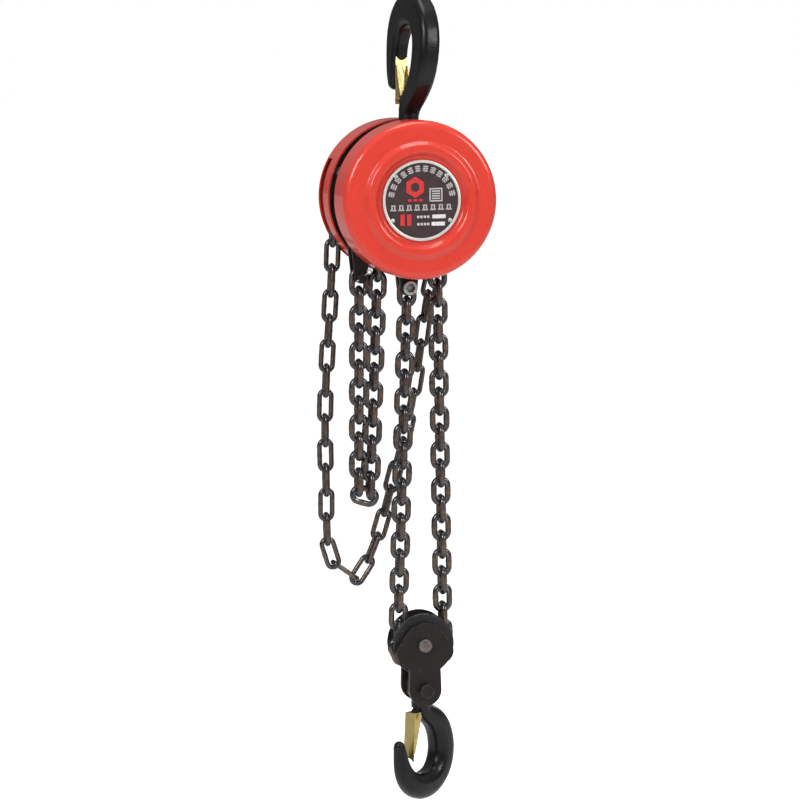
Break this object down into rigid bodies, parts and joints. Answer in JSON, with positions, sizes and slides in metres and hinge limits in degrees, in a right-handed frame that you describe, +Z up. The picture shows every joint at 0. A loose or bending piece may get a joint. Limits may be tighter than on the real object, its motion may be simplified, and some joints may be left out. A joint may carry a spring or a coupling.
{
  "type": "manual chain hoist",
  "caption": "Hand chain hoist with two round covers, top and bottom swivel hooks with latches, load chain over a single-sheave block, and a hand chain loop.",
  "frame": {"origin": "centre of the top hook's bowl, on the swivel axis", "axes": "+Z up along the hanging hoist (the top hook leans 3 degrees on its trunnions), +X to the right seen from the gear cover, +Y from the gear cover to the hand wheel cover"},
  "size_m": [0.1616, 0.126, 0.8056],
  "materials": {
    "red_paint": "gloss",
    "black_plate": "satin",
    "bright_steel": "zinc plated",
    "gear_steel": "machined",
    "bronze": "machined",
    "friction_lining": "matt",
    "cast_wheel": "as cast, black",
    "hook_black": "satin black",
    "block_black": "satin black brown",
    "latch_zinc": "yellow zinc plated sheet",
    "rating_plate": "etched, dark with bright marks",
    "load_chain": "burnished",
    "hand_chain": "burnished"
  },
  "bodies": {
    "top_hook": {"top_hook": "hook_black", "top_shank_nut": "gear_steel"},
    "top_latch": {"top_latch": "latch_zinc"},
    "hook_beam": {"top_hook_beam": "gear_steel"},
    "frame": {"gear_side_plate": "black_plate", "hand_side_plate": "black_plate", "stay_bolts": "bright_steel", "frame_nuts": "bright_steel", "gear_spacers": "bright_steel", "gear_bearing_plate": "black_plate", "gear_bushes": "bronze", "guide_pins": "bright_steel", "chain_stripper": "black_plate", "dead_end_clevis": "black_plate", "anchor_fasteners": "bright_steel", "anchor_pin": "bright_steel", "slack_end_lug": "black_plate", "lug_pin": "bright_steel", "lug_cotter": "bright_steel", "gear_cover": "red_paint", "hand_wheel_cover": "red_paint", "cover_screws": "bright_steel", "cover_nuts": "bright_steel", "nameplate": "rating_plate", "nameplate_rivets": "bright_steel", "ratchet_disc": "gear_steel", "pawl_studs": "bright_steel", "pawl_springs": "bright_steel", "load_bearings": "bright_steel", "sprocket_wrap": "load_chain", "hand_chain_wrap": "hand_chain"},
    "guide_roller_left": {"guide_roller_left": "bright_steel"},
    "guide_roller_right": {"guide_roller_right": "bright_steel"},
    "pawl_upper": {"pawl_upper": "gear_steel"},
    "pawl_lower": {"pawl_lower": "gear_steel"},
    "drive": {"drive_shaft": "gear_steel", "friction_hub": "gear_steel", "friction_discs": "friction_lining", "hand_wheel": "cast_wheel", "castle_nut": "bright_steel", "split_pin": "bright_steel"},
    "disc_gear_left": {"disc_gear_left": "gear_steel"},
    "disc_gear_right": {"disc_gear_right": "gear_steel"},
    "sprocket": {"load_sprocket": "cast_wheel", "load_gear": "gear_steel", "load_gear_ring": "bright_steel", "bearing_inner_rings": "bright_steel"},
    "load_falls": {"live_fall": "load_chain", "dead_fall": "load_chain"},
    "lower_block": {"block_cheeks": "block_black", "sheave_pin": "block_black", "sheave_wrap": "load_chain"},
    "sheave": {"sheave": "cast_wheel", "sheave_bush": "bronze"},
    "block_beam": {"bottom_hook_beam": "block_black"},
    "bottom_hook": {"bottom_hook": "hook_black", "bottom_shank_nut": "gear_steel"},
    "bottom_latch": {"bottom_latch": "latch_zinc"},
    "slack_chain": {"slack_loop": "load_chain"},
    "hand_chain": {"hand_chain_loop": "hand_chain"}
  },
  "joints": [
    {"name": "top_hook_swivel", "type": "hinge", "parent": "top_hook", "child": "hook_beam", "pos_m": [-0.00461, 0, -0.08788], "axis": [0.0523, 0, 0.9986], "continuous": true},
    {"name": "top_latch_swing", "type": "hinge", "parent": "top_hook", "child": "top_latch", "pos_m": [-0.00517, 0.01329, -0.0538], "axis": [0.9835, 0.1736, -0.0515], "range_deg": [0, 22]},
    {"name": "body_tilt", "type": "hinge", "parent": "hook_beam", "child": "frame", "pos_m": [-0.00461, 0, -0.08788], "axis": [0, 1, 0], "range_deg": [-17, 17]},
    {"name": "hand_wheel_turn", "type": "hinge", "parent": "frame", "child": "drive", "pos_m": [-0.00611, 0, -0.14888], "axis": [0, -1, 0], "range_deg": [0, 5760], "deforming": ["hand_chain_wrap"]},
    {"name": "disc_gear_left_turn", "type": "hinge", "parent": "frame", "child": "disc_gear_left", "pos_m": [-0.04361, 0, -0.14888], "axis": [0, -1, 0], "range_deg": [-1152, 0]},
    {"name": "disc_gear_right_turn", "type": "hinge", "parent": "frame", "child": "disc_gear_right", "pos_m": [0.03139, 0, -0.14888], "axis": [0, -1, 0], "range_deg": [-1152, 0]},
    {"name": "sprocket_turn", "type": "hinge", "parent": "frame", "child": "sprocket", "pos_m": [-0.00611, 0, -0.14888], "axis": [0, -1, 0], "range_deg": [0, 288], "deforming": ["sprocket_wrap"]},
    {"name": "guide_roller_left_turn", "type": "hinge", "parent": "frame", "child": "guide_roller_left", "pos_m": [-0.05411, 0, -0.17488], "axis": [0, 1, 0], "continuous": true},
    {"name": "guide_roller_right_turn", "type": "hinge", "parent": "frame", "child": "guide_roller_right", "pos_m": [0.04189, 0, -0.17488], "axis": [0, 1, 0], "continuous": true},
    {"name": "pawl_upper_swing", "type": "hinge", "parent": "frame", "child": "pawl_upper", "pos_m": [0.00891, 0, -0.09286], "axis": [0, 1, 0], "range_deg": [0, 12]},
    {"name": "pawl_lower_swing", "type": "hinge", "parent": "frame", "child": "pawl_lower", "pos_m": [-0.02112, 0, -0.2049], "axis": [0, 1, 0], "range_deg": [0, 12]},
    {"name": "load_falls_swing", "type": "hinge", "parent": "frame", "child": "load_falls", "pos_m": [-0.00461, 0, -0.23155], "axis": [1, 0, 0], "range_deg": [-8, 8]},
    {"name": "block_lift", "type": "slide", "parent": "load_falls", "child": "lower_block", "axis": [0, 0, 1], "range_m": [0, 0.072], "deforming": ["live_fall", "dead_fall"]},
    {"name": "sheave_turn", "type": "hinge", "parent": "lower_block", "child": "sheave", "pos_m": [0.00189, 0, -0.59368], "axis": [0, -1, 0], "range_deg": [0, 180], "deforming": ["sheave_wrap"]},
    {"name": "block_beam_tilt", "type": "hinge", "parent": "lower_block", "child": "block_beam", "pos_m": [0.00189, 0, -0.63918], "axis": [0, 1, 0], "range_deg": [-10, 10]},
    {"name": "bottom_hook_swivel", "type": "hinge", "parent": "block_beam", "child": "bottom_hook", "pos_m": [0.00189, 0, -0.63918], "axis": [0, 0, 1], "continuous": true},
    {"name": "bottom_latch_swing", "type": "hinge", "parent": "bottom_hook", "child": "bottom_latch", "pos_m": [-0.00835, -0.008, -0.66688], "axis": [0.6157, -0.788, 0], "range_deg": [0, 22]},
    {"name": "slack_chain_swing", "type": "hinge", "parent": "frame", "child": "slack_chain", "pos_m": [-0.00461, 0, -0.22836], "axis": [1, 0, 0], "range_deg": [-8, 3], "deforming": ["slack_loop"]},
    {"name": "hand_chain_swing", "type": "hinge", "parent": "frame", "child": "hand_chain", "pos_m": [-0.00461, 0.044, -0.19662], "axis": [1, 0, 0], "range_deg": [-3, 12], "deforming": ["hand_chain_loop"]}
  ],
  "couplings": [
    {"joint": "disc_gear_left_turn", "follows": "hand_wheel_turn", "ratio": -0.2},
    {"joint": "disc_gear_right_turn", "follows": "hand_wheel_turn", "ratio": -0.2},
    {"joint": "sprocket_turn", "follows": "hand_wheel_turn", "ratio": 0.05},
    {"joint": "block_lift", "follows": "hand_wheel_turn", "m_per_rad": 0.0007162},
    {"joint": "sheave_turn", "follows": "hand_wheel_turn", "ratio": 0.03125}
  ]
}
